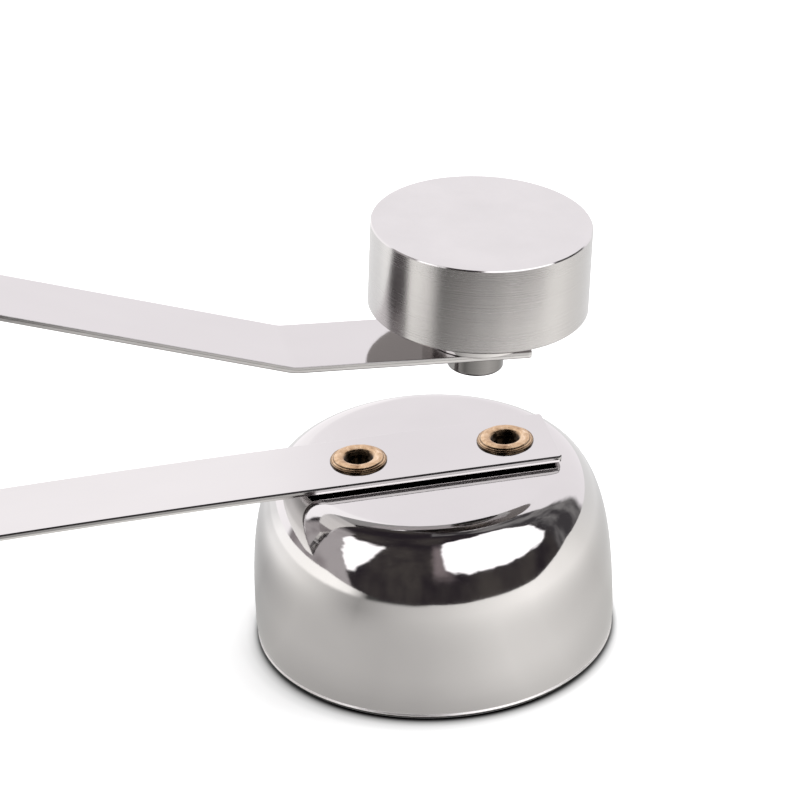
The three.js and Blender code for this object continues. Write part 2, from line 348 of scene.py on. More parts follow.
def steel_cup():
    m = Mat("cup_polished_steel")
    cloud = m.noise(m.coord, 140, 3, 0.5)
    fine = m.noise(m.coord, 2600, 3, 0.6)
    col = m.ramp(cloud, [(0.3, tuple(c * 0.98 for c in TINT)), (0.7, tuple(c * 1.02 for c in TINT))])
    # painted shade: the lowest 0.3 mm of the rim, with a noisy edge, is coloured near black and stands in for the
    # contact shadow where the rim meets the floor
    sp = m.n("ShaderNodeSeparateXYZ")
    m.link(m.coord, sp.inputs[0])
    edge = m.map(m.math("ADD", m.math("MULTIPLY", m.math("SUBTRACT", sp.outputs[2], 0.00030), 16000.0), m.math("MULTIPLY", fine, 0.8)), 0.0, 1.0)
    # the bead just above it is satin, and its colour is raised to near white as a painted highlight line
    bead = m.math("MULTIPLY_ADD", sp.outputs[2], -9000.0, 5.4, clamp=True)
    bead_highlight_mix = m.n("ShaderNodeMix", data_type="RGBA")
    bead_highlight_mix.inputs[7].default_value = (0.95, 0.93, 0.93, 1)
    m.link(bead, bead_highlight_mix.inputs[0])
    m.link(col, bead_highlight_mix.inputs[6])
    col = bead_highlight_mix.outputs[2]
    mx = m.n("ShaderNodeMix", data_type="RGBA")
    mx.inputs[6].default_value = (0.012, 0.011, 0.011, 1)
    m.link(edge, mx.inputs[0])
    m.link(col, mx.inputs[7])
    m.link(mx.outputs[2], m.b.inputs["Base Color"])
    m.link(m.math("ADD", m.math("ADD", m.map(fine, 0.02, 0.07), m.map(cloud, 0.0, 0.03)), m.math("MULTIPLY", bead, 0.30)), m.b.inputs["Roughness"])
    n1 = m.bump(cloud, 0.04, 0.0003)
    m.link(m.bump(fine, 0.05, 0.00001, n1), m.b.inputs["Normal"])
    return m.m


def steel_turned(name, colour, rough, line=0.00002, anis=0.6, lines=9000, painted_dark_foot=None):
    """Turned side: fine lines round the axis."""
    m = Mat(name)
    r, z = radius_of(m)
    cz = m.n("ShaderNodeCombineXYZ")
    m.link(m.math("MULTIPLY", z, lines), cz.inputs[2])
    m.link(m.math("MULTIPLY", r, lines), cz.inputs[0])
    band = m.noise(cz.outputs[0], 1.0, 4, 0.65)
    patch = m.noise(m.scaled((70, 70, 1400)), 1.0, 3, 0.6)
    c = m.ramp(band, [(0.25, tuple(x * 0.93 for x in colour)), (0.75, tuple(min(1, x * 1.06) for x in colour))])
    if painted_dark_foot:                                   # painted dark reflection, near black towards the striking end
        k = m.math("MULTIPLY_ADD", z, 1000.0 / (painted_dark_foot[1] - painted_dark_foot[0]), -painted_dark_foot[0] / (painted_dark_foot[1] - painted_dark_foot[0]), clamp=True)
        mx = m.n("ShaderNodeMix", data_type="RGBA")
        mx.inputs[6].default_value = (0.02, 0.019, 0.018, 1)
        m.link(k, mx.inputs[0])
        m.link(c, mx.inputs[7])
        c = mx.outputs[2]
    m.link(c, m.b.inputs["Base Color"])
    m.link(m.math("ADD", m.map(band, rough - 0.05, rough + 0.05), m.map(patch, -0.03, 0.03)), m.b.inputs["Roughness"])
    m.b.inputs["Anisotropic"].default_value = anis
    t = m.n("ShaderNodeTangent", direction_type="RADIAL", axis="Z")
    m.link(t.outputs[0], m.b.inputs["Tangent"])
    m.b.inputs["Anisotropic Rotation"].default_value = 0.25
    m.link(m.bump(m.math("ADD", band, m.math("MULTIPLY", patch, 0.25)), 0.30, line), m.b.inputs["Normal"])
    return m.m


def steel_faced(name, colour, rough):
    """Faced or ground end: near-mirror with very fine rings."""
    m = Mat(name)
    r, z = radius_of(m)
    cz = m.n("ShaderNodeCombineXYZ")
    m.link(m.math("MULTIPLY", r, 9000), cz.inputs[0])
    ring = m.noise(cz.outputs[0], 1.0, 3, 0.6)
    cloud = m.noise(m.coord, 160, 3, 0.55)
    m.link(m.ramp(cloud, [(0.3, tuple(x * 0.97 for x in colour)), (0.7, tuple(min(1, x * 1.03) for x in colour))]), m.b.inputs["Base Color"])
    m.link(m.math("ADD", m.map(ring, rough - 0.03, rough + 0.04), m.map(cloud, 0.0, 0.04)), m.b.inputs["Roughness"])
    m.link(m.bump(ring, 0.12, 0.00001), m.b.inputs["Normal"])
    return m.m


def bronze_eyelet():
    m = Mat("eyelet_bronze")
    r, z = radius_of(m)
    mott = m.noise(m.coord, 900, 5, 0.7, 0.4)
    big = m.noise(m.coord, 260, 3, 0.6)
    # painted shade: dark in the bore, in the two creases of the flange and along its outer edge where it sits on the
    # strip (r in metres, times 300)
    crease_shade = m.ramp(m.math("MULTIPLY", r, 300.0), [(0.36, 0.02), (0.42, 0.05), (0.445, 0.62), (0.50, 1.0), (0.69, 1.0), (0.718, 0.95), (0.734, 0.12),
                                                   (0.752, 0.8), (0.780, 1.0), (0.796, 0.12), (0.81, 0.7), (0.823, 0.5), (0.836, 0.05)])
    col = m.ramp(mott, [(0.30, (0.20, 0.11, 0.06)), (0.42, (0.43, 0.28, 0.165)), (0.55, (0.57, 0.395, 0.245)), (0.66, (0.70, 0.52, 0.36)), (0.76, (0.90, 0.79, 0.64))])
    mix = m.n("ShaderNodeMix", data_type="RGBA", blend_type="MULTIPLY")
    mix.inputs[0].default_value = 1.0
    m.link(col, mix.inputs[6])
    m.link(crease_shade, mix.inputs[7])
    m.link(mix.outputs[2], m.b.inputs["Base Color"])
    m.link(m.math("ADD", m.map(mott, 0.10, 0.26), m.map(big, -0.04, 0.06)), m.b.inputs["Roughness"])
    m.link(m.bump(m.math("ADD", mott, big), 0.35, 0.00004), m.b.inputs["Normal"])
    return m.m


MAT_STRIP = steel_strip()
# painted light and shade: the land and the break get one brightness on the lower arm and another from the bow upwards;
# the lower arm's break is painted as a highlight
MAT_LAND_PAINTED_LIGHT = steel_edge("strip_sheared_land_painted_light", 0.80, 0.92, 0.08)
MAT_BREAK_PAINTED_LIGHT = steel_edge("strip_sheared_break_painted_light", 1.45, 0.80, 0.12)
# painted shade and dark reflection along the strip's rollover and groove
MAT_HAIR_PAINTED_SHADE = steel_rollover()
MAT_CUP = steel_cup()
MAT_WEIGHT_SIDE = steel_turned("weight_turned_steel", (0.575, 0.560, 0.556), 0.26)
MAT_WEIGHT_FACE = steel_faced("weight_faced_steel", (0.615, 0.603, 0.60), 0.10)
# the underside is coloured at half the brightness of the top face: painted shade under the weight
MAT_WEIGHT_UNDER = steel_faced("weight_underside_painted_shade", (0.31, 0.282, 0.275), 0.22)
MAT_COLLAR = steel_turned("collar_turned_steel", (0.60, 0.585, 0.58), 0.12, 0.00001, 0.3, 7000)
# the screw is coloured far darker than the other steel parts, and painted near black at its striking end as a dark
# reflection
MAT_SCREW = steel_turned("screw_polished_steel", (0.23, 0.222, 0.218), 0.12, 0.000004, 0.0, 7000, painted_dark_foot=(-3.32, -3.05))
MAT_EYELET = bronze_eyelet()

# ------------------------------------------------------------------ strip path, as the CAD has it
strip_z = CUP_H + SEAT + STRIP_T / 2
droop = rad(DROOP_DEG)
droop_r = (DROOP0 - DROOP1) / math.sin(droop)
droop_end = (DROOP1, strip_z - droop_r * (1 - math.cos(droop)))
beta, pitch = rad(UPPER_DEG), rad(TIP_DEG)
tip_mid = (WX - math.sin(pitch) * STRIP_T / 2, WZ - math.cos(pitch) * STRIP_T / 2)
kink = (tip_mid[0] - math.cos(pitch) * TIP_LEN, tip_mid[1] + math.sin(pitch) * TIP_LEN)
A2 = np.array([[-math.sin(droop), math.cos(droop)], [math.sin(beta), math.cos(beta)]])
bow = np.linalg.solve(A2, np.array([A2[0] @ np.array(droop_end) + BOW_R, A2[1] @ np.array(kink) - BOW_R]))
kt = TIP_BEND_R * math.tan((beta - pitch) / 2)
kin = (kink[0] - math.cos(beta) * kt, kink[1] + math.sin(beta) * kt)
kc = (kin[0] + math.sin(beta) * TIP_BEND_R, kin[1] + math.cos(beta) * TIP_BEND_R)


def strip_line():
    """Middle line from the lower tip, round the bow, to the upper tip: (x, z, direction angle), mm."""
    pts = []

    def straight(p, q, step):
        d = math.atan2(q[1] - p[1], q[0] - p[0])
        n = max(1, round(math.dist(p, q) / step))
        for i in range(n):
            pts.append((p[0] + (q[0] - p[0]) * i / n, p[1] + (q[1] - p[1]) * i / n, d))

    straight((LOWER_TIP_X, strip_z), (DROOP0, strip_z), 1.3)
    for i in range(12):
        a = droop * i / 12
        pts.append((DROOP0 - droop_r * math.sin(a), strip_z - droop_r * (1 - math.cos(a)), math.pi + a))
    t1 = rad(-90 + DROOP_DEG)
    t2 = rad(-270 - UPPER_DEG)
    P1 = (bow[0] + BOW_R * math.cos(t1), bow[1] + BOW_R * math.sin(t1))
    P2 = (bow[0] + BOW_R * math.cos(t2), bow[1] + BOW_R * math.sin(t2))
    straight(droop_end, P1, 2.0)
    for i in range(110):
        a = t1 + (t2 - t1) * i / 110
        pts.append((bow[0] + BOW_R * math.cos(a), bow[1] + BOW_R * math.sin(a), a - math.pi / 2))
    straight(P2, kin, 2.0)
    for i in range(12):
        a = beta + (pitch - beta) * i / 12
        pts.append((kc[0] - math.sin(a) * TIP_BEND_R, kc[1] - math.cos(a) * TIP_BEND_R, -a))
    kout = (kc[0] - math.sin(pitch) * TIP_BEND_R, kc[1] - math.cos(pitch) * TIP_BEND_R)
    end = (tip_mid[0] + math.cos(pitch) * TIP_OVER, tip_mid[1] - math.sin(pitch) * TIP_OVER)
    straight(kout, end, 1.3)
    pts.append((end[0], end[1], -pitch))
    return pts


def build_strip():
    er = 0.11                                  # radius along the sheared edges
    roll, step_t, lean = 0.17, 0.03, 0.115      # rollover radius, where the land ends, how far the break leans in
    line = strip_line()
    # distance along the line, to shape the two tips
    s = [0.0]
    for a, b in zip(line[:-1], line[1:]):
        s.append(s[-1] + math.dist(a[:2], b[:2]))
    total = s[-1]
    extra = []
    ring_s = sorted(set([0.0, 0.004] + [er * (1 - math.cos(math.pi / 2 * i / 6)) for i in range(1, 7)]
                        + [er + 0.012] + [CORNER_R * (1 - math.cos(math.pi / 2 * i / 14)) + er * 0 for i in range(2, 15)] + [CORNER_R + 0.012]))
    stations = [x for x in s if CORNER_R + 0.1 < x < total - CORNER_R - 0.1]
    stations = ring_s + stations + [total - x for x in reversed(ring_s)]
    xs, zs, an = (np.array([p[i] for p in line]) for i in range(3))
    an = np.unwrap(an)
    sa = np.array(s)
    verts, rings, zone = [], [], None
    for q in stations:
        x, z, a = np.interp(q, sa, xs), np.interp(q, sa, zs), np.interp(q, sa, an)
        e = min(q, total - q)
        hw, ht = STRIP_W / 2, STRIP_T / 2
        if e < CORNER_R:
            hw -= CORNER_R - math.sqrt(max(0, CORNER_R ** 2 - (CORNER_R - e) ** 2))
        inset = 0.0
        if e < er:
            inset = er - math.sqrt(max(0, er ** 2 - (er - e) ** 2))
        ht -= inset
        hw -= inset * 0.4
        rr = max(er - inset * 0.8, 0.02)
        rt = max(roll - inset * 0.8, 0.02)
        w = min(1.0, max(0.06, (29.0 - z) / 7.0))     # the upper arm's edge is nearly square
        st, ln = 0.05 * w, lean * w
        sec = fillet([(-hw, -ht, rt), (hw, -ht, rt), (hw, step_t, 0.01), (hw - st, step_t + 0.035, 0.01), (hw - ln, ht, rr * 0.6),
                      (-hw + ln, ht, rr * 0.6), (-hw + st, step_t + 0.035, 0.01), (-hw, step_t, 0.01)], closed=True, steps=5, support=0.012)
        if zone is None and e > CORNER_R + 0.5:
            # what each face along the section is: 0 rolled face, 1 land, 2 rollover and groove, 3 break
            zone = []
            for (y0, t0), (y1, t1) in zip(sec, sec[1:] + sec[:1]):
                ym, tm = abs(y0 + y1) / 2, (t0 + t1) / 2
                slope = abs(t1 - t0) / max(1e-9, math.hypot(y1 - y0, t1 - t0))
                if ym < STRIP_W / 2 - 0.3 or slope < 0.25:
                    zone.append(0)
                elif tm < -ht + roll:
                    zone.append(2 if slope < 0.97 else 1)
                elif tm < step_t - 0.008:
                    zone.append(1)
                elif tm < step_t + 0.03:
                    zone.append(2)
                else:
                    zone.append(3)
        d = np.array([math.cos(a), math.sin(a)])
        up = np.array([-math.sin(a), math.cos(a)])
        ring = []
        for yy, tt in sec:
            P = np.array([x, z]) + up * tt
            ring.append(len(verts))
            verts.append(((AX + P[0]) * MM, yy * MM, P[1] * MM))
        rings.append(ring)
    faces, zones = [], []
    n = len(rings[0])
    for A, B in zip(rings[:-1], rings[1:]):
        for k in range(n):
            m = (k + 1) % n
            faces.append((A[k], A[m], B[m], B[k]))
            zones.append(zone[k])
    faces.append(tuple(rings[0]))
    faces.append(tuple(reversed(rings[-1])))
    zones += [1, 1]
    ob = new_object("spring_strip", verts, faces)
    for m in (MAT_STRIP, MAT_LAND_PAINTED_LIGHT, MAT_HAIR_PAINTED_SHADE, MAT_BREAK_PAINTED_LIGHT):
        ob.data.materials.append(m)
    ob.data.polygons.foreach_set("material_index", zones)
    return ob


strip = build_strip()
cut(strip, [cylinder(1.72, CUP_H - 2, CUP_H + 2, at(x, 0, 0)) for x in EYELET_X] + [cylinder(2.0, -3, 3, at(WX, 0, WZ, TIP_DEG))])
# ------------------------------------------------------------------ cup
def cup_profile():
    fine = np.array([(CUP_TOP_R + (CUP_WALL_R - CUP_TOP_R) * math.cos(a) ** (2 / CUP_A),
                      CUP_WALL_Z + (CUP_H - CUP_WALL_Z) * math.sin(a) ** (2 / CUP_B)) for a in np.linspace(0, math.pi / 2, 8001)])
    # stations closer together where the curve bends more, so that the mirror finish stays even
    step = np.diff(fine, axis=0)
    length = np.hypot(*step.T)
    turn = np.r_[0, np.abs(np.diff(np.unwrap(np.arctan2(step[:, 1], step[:, 0]))))]
    L = np.r_[0, np.cumsum(length / length.sum() + 1.3 * turn / turn.sum())]
    k = np.linspace(0, L[-1], 84)
    shoulder = np.c_[np.interp(k, L, fine[:, 0]), np.interp(k, L, fine[:, 1])]
    d = np.gradient(shoulder, axis=0)
    d /= np.hypot(d[:, 0], d[:, 1])[:, None]
    d[0], d[-1] = (0, 1), (-1, 0)
    inner = shoulder - np.c_[d[:, 1], -d[:, 0]] * CUP_T
    inner[-1, 1] = CUP_H - CUP_T
    # ground rim: the wall runs into a fine bead, the edge left by the trimming die
    rim = fillet([(CUP_WALL_R, CUP_WALL_Z, 0), (CUP_WALL_R - 0.07, 1.1, 0.6), (CUP_RIM_R + 0.06, 0.52, 0.10), (CUP_RIM_R + 0.14, 0.36, 0.06),
                  (CUP_RIM_R + 0.14, 0.20, 0.05), (CUP_RIM_R - 0.06, 0.0, 0.06),
                  (CUP_RIM_R - CUP_T + 0.12, 0.0, 0.05), (CUP_WALL_R - CUP_T, 0.7, 0.3), (CUP_WALL_R - CUP_T, CUP_WALL_Z, 0)], steps=5)
    prof = [(0, CUP_H)]
    prof += [(r, CUP_H) for r in (2, 4, 6, 8, 10, 11.5, 12.2)]
    prof += [tuple(p) for p in shoulder[::-1]]
    prof += rim[1:-1]
    prof += [tuple(p) for p in inner]
    prof += [(r, CUP_H - CUP_T) for r in (12.2, 11.5, 10, 8, 6, 4, 2)]
    prof += [(0, CUP_H - CUP_T)]
    return prof


cup = lathe("bell_cup", cup_profile(), 256, at(0, 0, 0), False)
cut(cup, [cylinder(1.72, CUP_H - 3, CUP_H + 3, at(x, 0, 0)) for x in EYELET_X])
cup.data.materials.append(MAT_CUP)

# ------------------------------------------------------------------ eyelets
stack = STRIP_T + SEAT + CUP_T
EYELET = fillet([
    (1.70, 0.02, 0.0), (2.74, 0.02, 0.03), (2.82, 0.10, 0.03), (2.78, 0.19, 0.03), (2.66, 0.20, 0.02), (2.60, 0.31, 0.04),
    (2.47, 0.32, 0.02), (2.40, 0.44, 0.05), (2.10, 0.55, 0.15), (1.72, 0.53, 0.12), (1.50, 0.42, 0.08), (1.42, 0.24, 0.08),
    (1.36, -0.15, 0.1), (1.22, -0.42, 0.1), (1.20, -stack + 0.1, 0.2), (1.34, -stack - 0.45, 0.15), (1.75, -stack - 0.74, 0.2),
    (2.20, -stack - 0.70, 0.2), (2.50, -stack - 0.36, 0.15), (2.40, -stack - 0.03, 0.03), (1.70, -stack - 0.03, 0.0),
], closed=True, steps=4, support=0.0)


def eyelet(name, x, seed):
    ob = lathe(name, EYELET, 96, at(x, 0, CUP_H + SEAT + STRIP_T), True)
    # a rolled flange is never quite true
    for v in ob.data.vertices:
        r = math.hypot(v.co.x, v.co.y)
        if r < 1.3 * MM:
            continue
        a = math.atan2(v.co.y, v.co.x)
        w = math.sin(3 * a + seed) * 0.5 + math.sin(7 * a + seed * 2.3) * 0.3 + math.sin(13 * a + seed * 0.7) * 0.2
        if v.co.z > 0.05 * MM:
            v.co.z -= abs(w) * 0.03 * MM * (v.co.z / (0.55 * MM))
            k = 1 - (0.012 * abs(w)) * max(0.0, (r / MM - 1.4) / 1.4)
            v.co.x *= k
            v.co.y *= k
    ob.data.materials.append(MAT_EYELET)
    return ob


rear_eyelet = eyelet("rear_eyelet_rolled", EYELET_X[0], 0.4)
front_eyelet = eyelet("front_eyelet_rolled", EYELET_X[1], 2.1)

# ------------------------------------------------------------------ weight, collar, striker screw
W = at(WX, 0, WZ, TIP_DEG)
wz = COLLAR_H + 2 * GAP
top = wz + WEIGHT_H
weight = lathe("knocker_weight_turned", fillet([
    (0, top, 0), (4.0, top, 0), (8.0, top, 0), (WEIGHT_R - 0.10, top, 0.02), (WEIGHT_R, top - 0.13, 0.03), (WEIGHT_R, wz + 0.16, 0.05), (WEIGHT_R - 0.14, wz, 0.04), (6.0, wz, 0), (2.05, wz, 0.05), (2.05, wz + 5.2, 0.1), (0, wz + 5.9, 0)], steps=5), 256, W, False)
weight.data.materials.append(MAT_WEIGHT_SIDE)
weight.data.materials.append(MAT_WEIGHT_FACE)
weight.data.materials.append(MAT_WEIGHT_UNDER)
for p in weight.data.polygons:
    if p.center.z > (top - 0.11) * MM:
        p.material_index = 1
    # the downward faces at the bottom get the painted-shade underside colour
    elif p.normal.z < -0.9 and p.center.z < (wz + 0.01) * MM:
        p.material_index = 2

collar = lathe("spacer_collar_turned", fillet([
    (2.05, GAP, 0.05), (COLLAR_R, GAP, 0.08), (COLLAR_R, COLLAR_H - 0.35, 0.06),
    (COLLAR_R - 0.35, COLLAR_H, 0.06), (2.05, COLLAR_H, 0.05)], closed=True, steps=4), 128, W, True)
collar.data.materials.append(MAT_COLLAR)

ht = -STRIP_T - GAP
screw = lathe("striker_screw_turned", fillet([
    (0, wz + 5.0, 0), (1.55, wz + 5.0, 0.08), (1.95, wz + 4.6, 0.08), (1.95, ht, 0.05), (HEAD_R - 0.08, ht, 0.04), (HEAD_R, ht - 0.15, 0.06),
    (HEAD_R, ht - HEAD_H + 0.02, 0.30), (1.2, ht - HEAD_H, 0.5), (0, ht - HEAD_H - 0.02, 0)], steps=8), 128, W, False)
screw.data.materials.append(MAT_SCREW)

# ------------------------------------------------------------------ ride on the CAD bodies
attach(cup, "base"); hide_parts("cup")
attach(rear_eyelet, "base"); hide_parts("rear_eyelet")
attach(front_eyelet, "base"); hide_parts("front_eyelet")
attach(weight, "striker_arm"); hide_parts("knocker_weight")
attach(collar, "striker_arm"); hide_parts("spacer_collar")
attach(screw, "striker_arm"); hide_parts("striker_screw")
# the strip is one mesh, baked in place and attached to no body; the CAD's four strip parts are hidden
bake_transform(strip)
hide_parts("lower_arm", "lower_bow", "upper_bow", "upper_arm")

# ------------------------------------------------------------------ floor
CAM_AZ_REL = -math.pi / 2 - 0.19517570        # direction from the object towards the camera


def ramp_node(t, fac, stops, interp="EASE"):
    rn = t.nodes.new("ShaderNodeValToRGB")
    el = rn.color_ramp.elements
    rn.color_ramp.interpolation = interp
    while len(el) > 1:
        el.remove(el[-1])
    for i, (pos, c) in enumerate(stops):
        e = el[0] if i == 0 else el.new(pos)
        e.position = pos
        e.color = (c, c, c, 1) if isinstance(c, (int, float)) else (*c, 1)
    t.links.new(fac, rn.inputs["Fac"])
    return rn.outputs["Color"]


def build_floor():
    outline = [(-0.60, -0.10), (-0.068, -0.082), (-0.021, -0.098), (0.030, -0.092), (0.072, -0.062), (0.62, -0.062), (0.62, 0.55), (-0.60, 0.55)]
    floor = new_object("floor", [(x, y, 0.0) for x, y in outline], [tuple(range(8))], Matrix.Translation(Vector((AX * MM, 0, -0.00002))), False)
    m = bpy.data.materials.new("floor_white")
    m.use_nodes = True
    t = m.node_tree
    L = t.links.new
    b = t.nodes["Principled BSDF"]
    b.inputs["Roughness"].default_value = 1.0
    b.inputs["Specular IOR Level"].default_value = 0.0
    b.inputs["Base Color"].default_value = (0.93, 0.93, 0.93, 1)
    out = t.nodes["Material Output"]

    def mth(op, x, y=None, z=None, clamp=False):
        n = t.nodes.new("ShaderNodeMath")
        n.operation, n.use_clamp = op, clamp
        for i, v in enumerate((x, y, z)):
            if v is None:
                continue
            if isinstance(v, (int, float)):
                n.inputs[i].default_value = v
            else:
                L(v, n.inputs[i])
        return n.outputs[0]

    geo = t.nodes.new("ShaderNodeNewGeometry")
    sub = t.nodes.new("ShaderNodeVectorMath")
    sub.operation = "SUBTRACT"
    sub.inputs[1].default_value = (AX * MM, 0, 0)
    L(geo.outputs["Position"], sub.inputs[0])
    mp = t.nodes.new("ShaderNodeMapping")
    mp.inputs["Rotation"].default_value = (0, 0, -CAM_AZ_REL)
    L(sub.outputs[0], mp.inputs["Vector"])
    sp = t.nodes.new("ShaderNodeSeparateXYZ")
    L(mp.outputs[0], sp.inputs[0])
    az = mth("MULTIPLY_ADD", mth("ARCTAN2", sp.outputs[1], sp.outputs[0]), 1 / (2 * math.pi), 0.5)      # 0 = behind, by the left, 0.5 = towards the camera
    rr = mth("SQRT", mth("ADD", mth("MULTIPLY", sp.outputs[0], sp.outputs[0]), mth("MULTIPLY", sp.outputs[1], sp.outputs[1])))

    def A(deg):
        return (deg + 180) / 360

    K = 0.5                                     # the ramps hold half the brightness, so that they stay under 1
    near = ramp_node(t, az, [(A(v), K * c) for v, c in FLOOR_NEAR], "LINEAR")
    far = ramp_node(t, az, [(A(v), K * c) for v, c in FLOOR_FAR], "LINEAR")
    mr = t.nodes.new("ShaderNodeMapRange")
    mr.interpolation_type = "SMOOTHSTEP"
    mr.inputs["From Min"].default_value, mr.inputs["From Max"].default_value = 0.030, 0.062
    L(rr, mr.inputs["Value"])
    mx = t.nodes.new("ShaderNodeMix")
    mx.data_type = "RGBA"
    L(mr.outputs["Result"], mx.inputs[0])
    L(near, mx.inputs[6])
    L(far, mx.inputs[7])
    # the cup darkens the floor close to it
    cs = t.nodes.new("ShaderNodeMapRange")
    cs.interpolation_type = "SMOOTHSTEP"
    cs.inputs["From Min"].default_value, cs.inputs["From Max"].default_value = 0.0165, 0.026
    cs.inputs["To Min"].default_value, cs.inputs["To Max"].default_value = 0.80, 1.0
    L(rr, cs.inputs["Value"])
    em = t.nodes.new("ShaderNodeEmission")
    # contact shadow round the rim
    r20 = mth("MULTIPLY", rr, 20.0)
    front = ramp_node(t, r20, [(0.350, 0.0), (0.3578, 0.005), (0.362, 0.22), (0.369, 0.50), (0.380, 0.75), (0.40, 0.90), (0.44, 0.93)], "LINEAR")
    round_ = ramp_node(t, r20, [(0.350, 0.08), (0.3555, 0.22), (0.360, 0.58), (0.366, 0.82), (0.378, 0.91), (0.40, 0.93)], "LINEAR")
    fmx = t.nodes.new("ShaderNodeMix")
    fmx.data_type = "RGBA"
    L(mth("MULTIPLY", mth("DIVIDE", sp.outputs[0], rr), 1.15, clamp=True), fmx.inputs[0])
    L(round_, fmx.inputs[6])
    L(front, fmx.inputs[7])
    L(fmx.outputs[2], b.inputs["Base Color"])
    warm = t.nodes.new("ShaderNodeMix")
    warm.data_type, warm.blend_type = "RGBA", "MULTIPLY"
    warm.inputs[0].default_value = 1.0
    er = t.nodes.new("ShaderNodeMapRange")
    er.interpolation_type = "SMOOTHSTEP"
    er.inputs["From Min"].default_value, er.inputs["From Max"].default_value = 0.084, 0.104
    L(rr, er.inputs["Value"])
    mx2 = t.nodes.new("ShaderNodeMix")
    mx2.data_type = "RGBA"
    L(er.outputs["Result"], mx2.inputs[0])
    L(mx.outputs[2], mx2.inputs[6])
    L(ramp_node(t, az, [(A(v), K * c) for v, c in FLOOR_EDGE], "LINEAR"), mx2.inputs[7])
    L(mx2.outputs[2], warm.inputs[6])
    L(ramp_node(t, az, [(A(-130), (1.0, 1.0, 1.0)), (A(-80), (1.0, 0.985, 0.955)), (A(100), (1.0, 0.985, 0.955)), (A(140), (1.0, 1.0, 1.0))], "LINEAR"), warm.inputs[7])
    L(warm.outputs[2], em.inputs["Color"])
    L(mth("MULTIPLY", cs.outputs["Result"], 1 / K), em.inputs["Strength"])
    # seen in the metal the floor is an emitter: a painted reflection, its brightness set by direction round the cup and
    # distance from it, and darkened close to the cup
    lp = t.nodes.new("ShaderNodeLightPath")
    ms = t.nodes.new("ShaderNodeMixShader")
    L(lp.outputs["Is Glossy Ray"], ms.inputs[0])
    L(b.outputs[0], ms.inputs[1])
    L(em.outputs[0], ms.inputs[2])
    L(ms.outputs[0], out.inputs["Surface"])
    floor.data.materials.append(m)


# how bright the paper looks in the metal, by direction round the cup (degrees from the camera, + to the right)
FLOOR_NEAR = [(-180, 0.74), (-125, 0.66), (-106, 0.54), (-87, 0.66), (-74, 0.75), (-44, 0.72), (-24, 0.69), (-5, 0.74), (13, 0.87), (32, 1.06), (53, 1.05),
              (80, 0.86), (98, 0.76), (125, 0.76), (180, 0.74)]
FLOOR_FAR = [(-180, 0.98), (-126, 1.00), (-112, 1.25), (-96, 1.28), (-80, 1.12), (-62, 0.80), (-42, 0.46), (-23, 0.72), (0, 0.92), (27, 1.22), (54, 1.48),
             (84, 1.30), (102, 1.08), (124, 1.00), (180, 0.98)]
FLOOR_EDGE = [(-180, 1.00), (-126, 1.15), (-112, 1.50), (-60, 1.60), (-50, 1.45), (-44, 0.85), (-38, 0.08), (-9, 0.08), (0, 0.90), (27, 1.22), (54, 1.48),
              (84, 1.30), (102, 1.08), (124, 1.00), (180, 1.00)]
build_floor()

# ------------------------------------------------------------------ camera
F_PX, DIST, AZ, EL, TX, TZ, ROLL = 3912.759, 393.6026, -0.19517570, 0.56006700, -2.636547, 25.798920, -0.04078789
C = Vector((DIST * math.cos(EL) * math.sin(AZ), -DIST * math.cos(EL) * math.cos(AZ), DIST * math.sin(EL)))
T = Vector((TX, 0, TZ))
d = (T - C).normalized()
r = d.cross(Vector((0, 0, 1))).normalized()
u = r.cross(d)
r2 = math.cos(ROLL) * r + math.sin(ROLL) * u
u2 = -math.sin(ROLL) * r + math.cos(ROLL) * u
cam_data = bpy.data.cameras.new("camera")
cam_data.sensor_width = 36.0
cam_data.lens = F_PX / 800 * 36.0
cam_data.clip_start, cam_data.clip_end = 0.01, 20
cam = bpy.data.objects.new("camera", cam_data)
scene.collection.objects.link(cam)
rot = Matrix((r2, u2, -d)).transposed().to_4x4()
cam.matrix_world = Matrix.Translation((C + Vector((AX, 0, 0))) * MM) @ rot
scene.camera = cam

# ------------------------------------------------------------------ studio: a white backdrop, a dark side where the camera stands, two soft boxes
CAM_AZ = math.atan2(C.y, C.x)                 # direction from the object towards the camera


